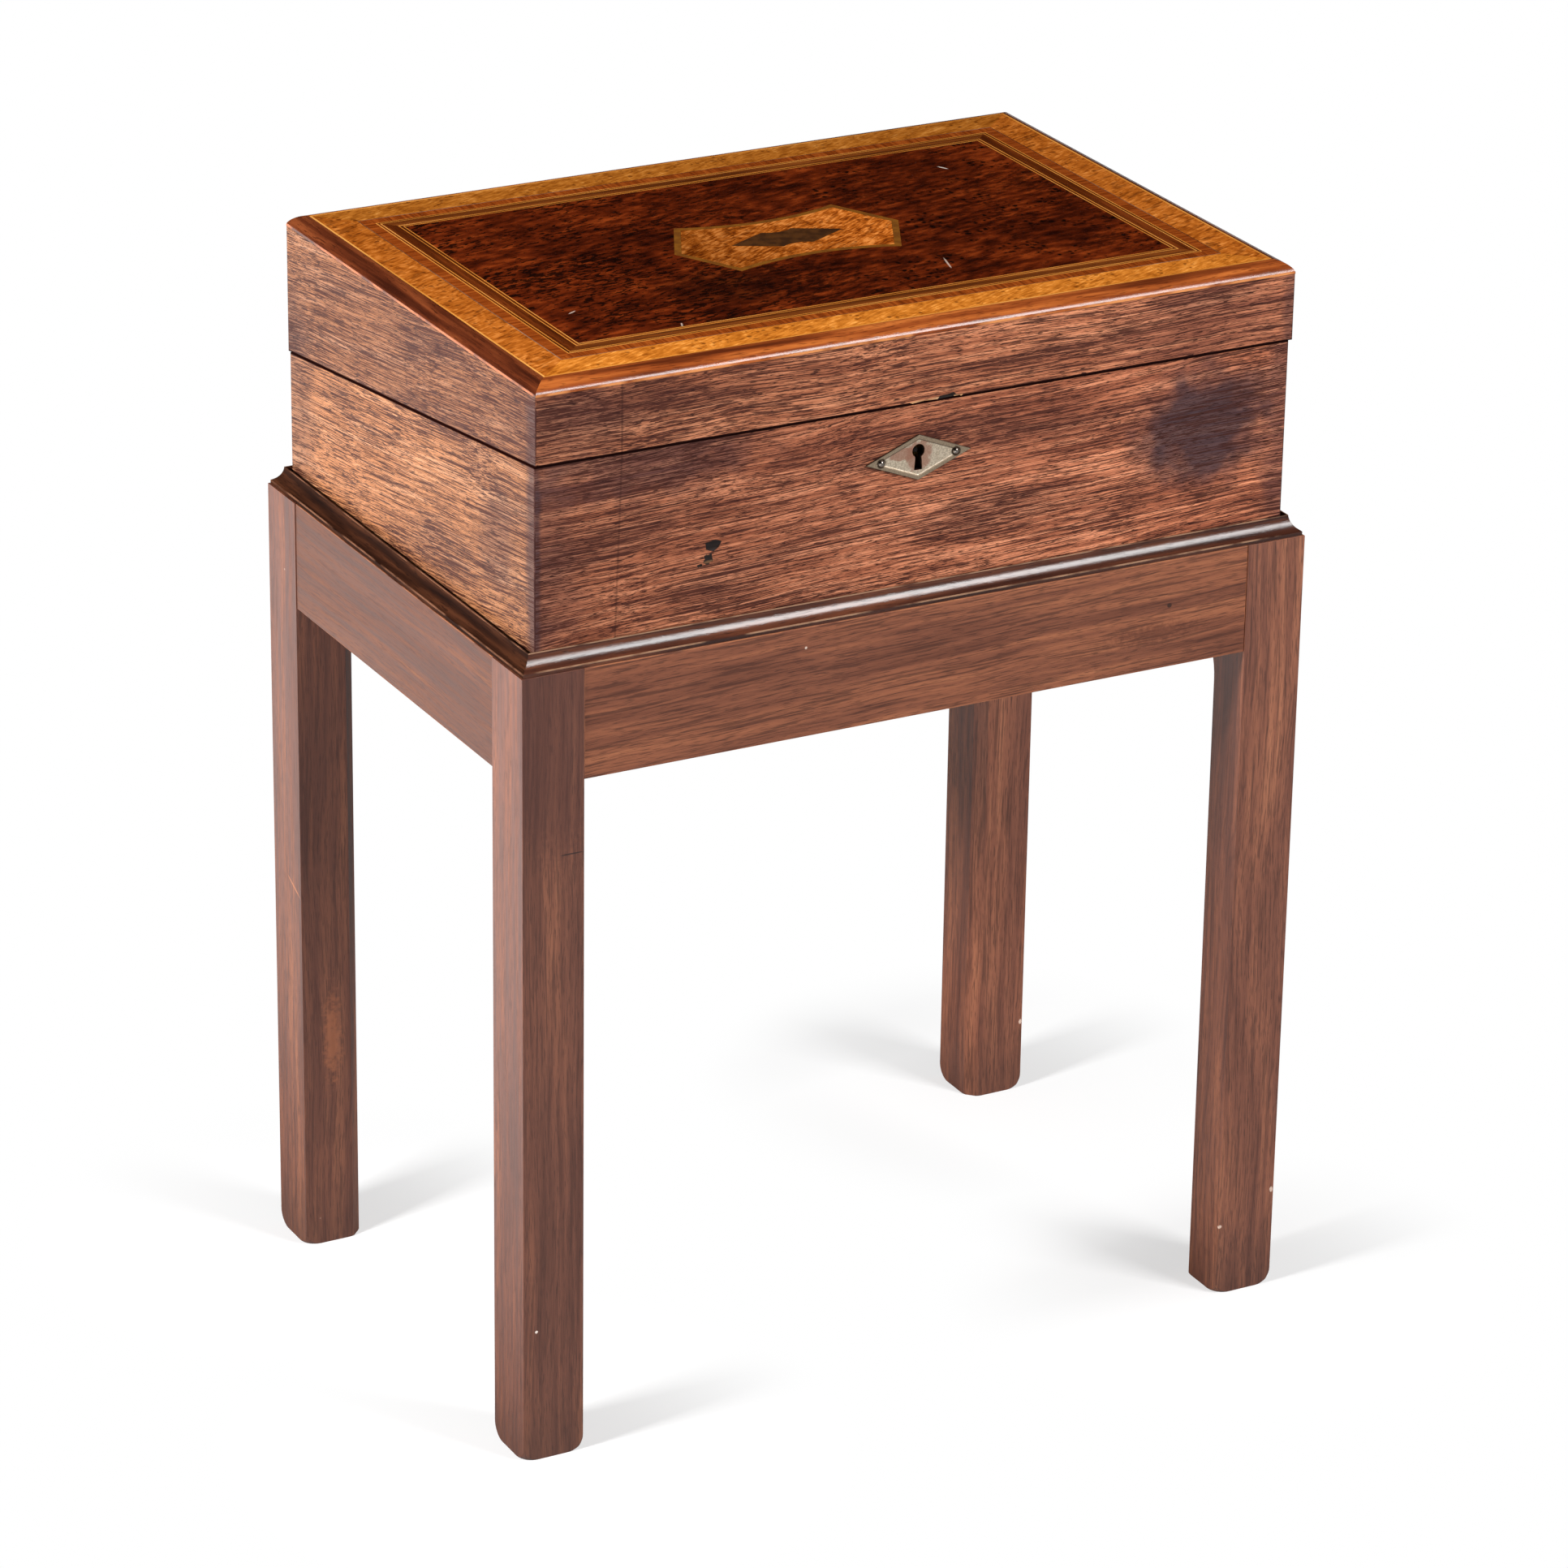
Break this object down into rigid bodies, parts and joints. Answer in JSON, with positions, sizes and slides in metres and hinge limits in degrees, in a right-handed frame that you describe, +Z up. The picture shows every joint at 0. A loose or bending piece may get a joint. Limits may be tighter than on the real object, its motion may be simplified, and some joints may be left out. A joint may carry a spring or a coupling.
{
  "type": "lap desk on stand",
  "caption": "Slant-cut writing box with inlaid burl lid, hinged at the back, resting loose inside the moulded edge of a square-legged wooden stand.",
  "frame": {"origin": "on the floor, under the middle of the stand", "axes": "+Z up, -Y towards the lock side, +X to the right as seen from the lock side"},
  "size_m": [0.45, 0.305, 0.583],
  "materials": {
    "mahogany": "rubbed mahogany, satin, fine straight grain",
    "moulding": "dark polished mahogany",
    "rosewood": "worn rosewood veneer, dark streaks along the grain",
    "border": "polished rosewood edging",
    "burr": "golden burr veneer, polished",
    "burl": "dark red burl veneer, polished",
    "crossband": "red-brown crossbanding, polished",
    "boxwood": "boxwood and dark stringing, polished",
    "carcase": "plain mahogany and pine inside",
    "leather": "tooled writing leather",
    "brass": "aged brass",
    "nickel": "worn nickel silver",
    "steel": "dull steel",
    "bronze": "dull dark brass inlay"
  },
  "bodies": {
    "stand": {"leg_front_left": "mahogany", "leg_front_right": "mahogany", "leg_back_left": "mahogany", "leg_back_right": "mahogany", "rail_front": "mahogany", "rail_back": "mahogany", "rail_left": "mahogany", "rail_right": "mahogany", "moulding_front": "moulding", "moulding_back": "moulding", "moulding_left": "moulding", "moulding_right": "moulding"},
    "desk": {"base_front": "rosewood", "base_back": "rosewood", "base_left": "rosewood", "base_right": "rosewood", "base_bottom": "carcase", "till_divider": "carcase", "till_partition_left": "carcase", "till_partition_right": "carcase", "pen_tray": "carcase", "base_ledge_left": "carcase", "base_ledge_right": "carcase", "base_flap": "carcase", "base_leather": "leather", "lock_case": "brass", "lock_drill_pin": "steel", "escutcheon": "nickel", "escutcheon_pin_left": "nickel", "escutcheon_pin_right": "nickel", "hinge_left_base_leaf": "brass", "hinge_left_pin": "steel", "hinge_right_base_leaf": "brass", "hinge_right_pin": "steel"},
    "lid": {"lid_front": "rosewood", "lid_back": "rosewood", "lid_left": "rosewood", "lid_right": "rosewood", "lid_board": "carcase", "lid_ledge_left": "carcase", "lid_ledge_right": "carcase", "lid_flap": "carcase", "lid_leather": "leather", "link_plate": "brass", "hinge_left_lid_leaf": "brass", "hinge_right_lid_leaf": "brass", "border_front": "border", "border_back": "border", "border_left": "border", "border_right": "border", "outer_stringing": "boxwood", "burr_band": "burr", "crossband": "crossband", "inner_stringing": "boxwood", "burl_panel": "burl", "cartouche_border": "bronze", "cartouche_field": "burr", "cartouche_plaque": "bronze"},
    "bolt": {"lock_bolt": "brass"}
  },
  "joints": [
    {"name": "desk_lift", "type": "slide", "parent": "stand", "child": "desk", "axis": [0, 0, 1], "range_m": [0, 0.12]},
    {"name": "lid_hinge", "type": "hinge", "parent": "desk", "child": "lid", "pos_m": [0, 0.14855, 0.50747], "axis": [-1, 0, 0], "range_deg": [0, 175]},
    {"name": "bolt_slide", "type": "slide", "parent": "desk", "child": "bolt", "axis": [-1, 0, 0], "range_m": [0, 0.003]}
  ]
}
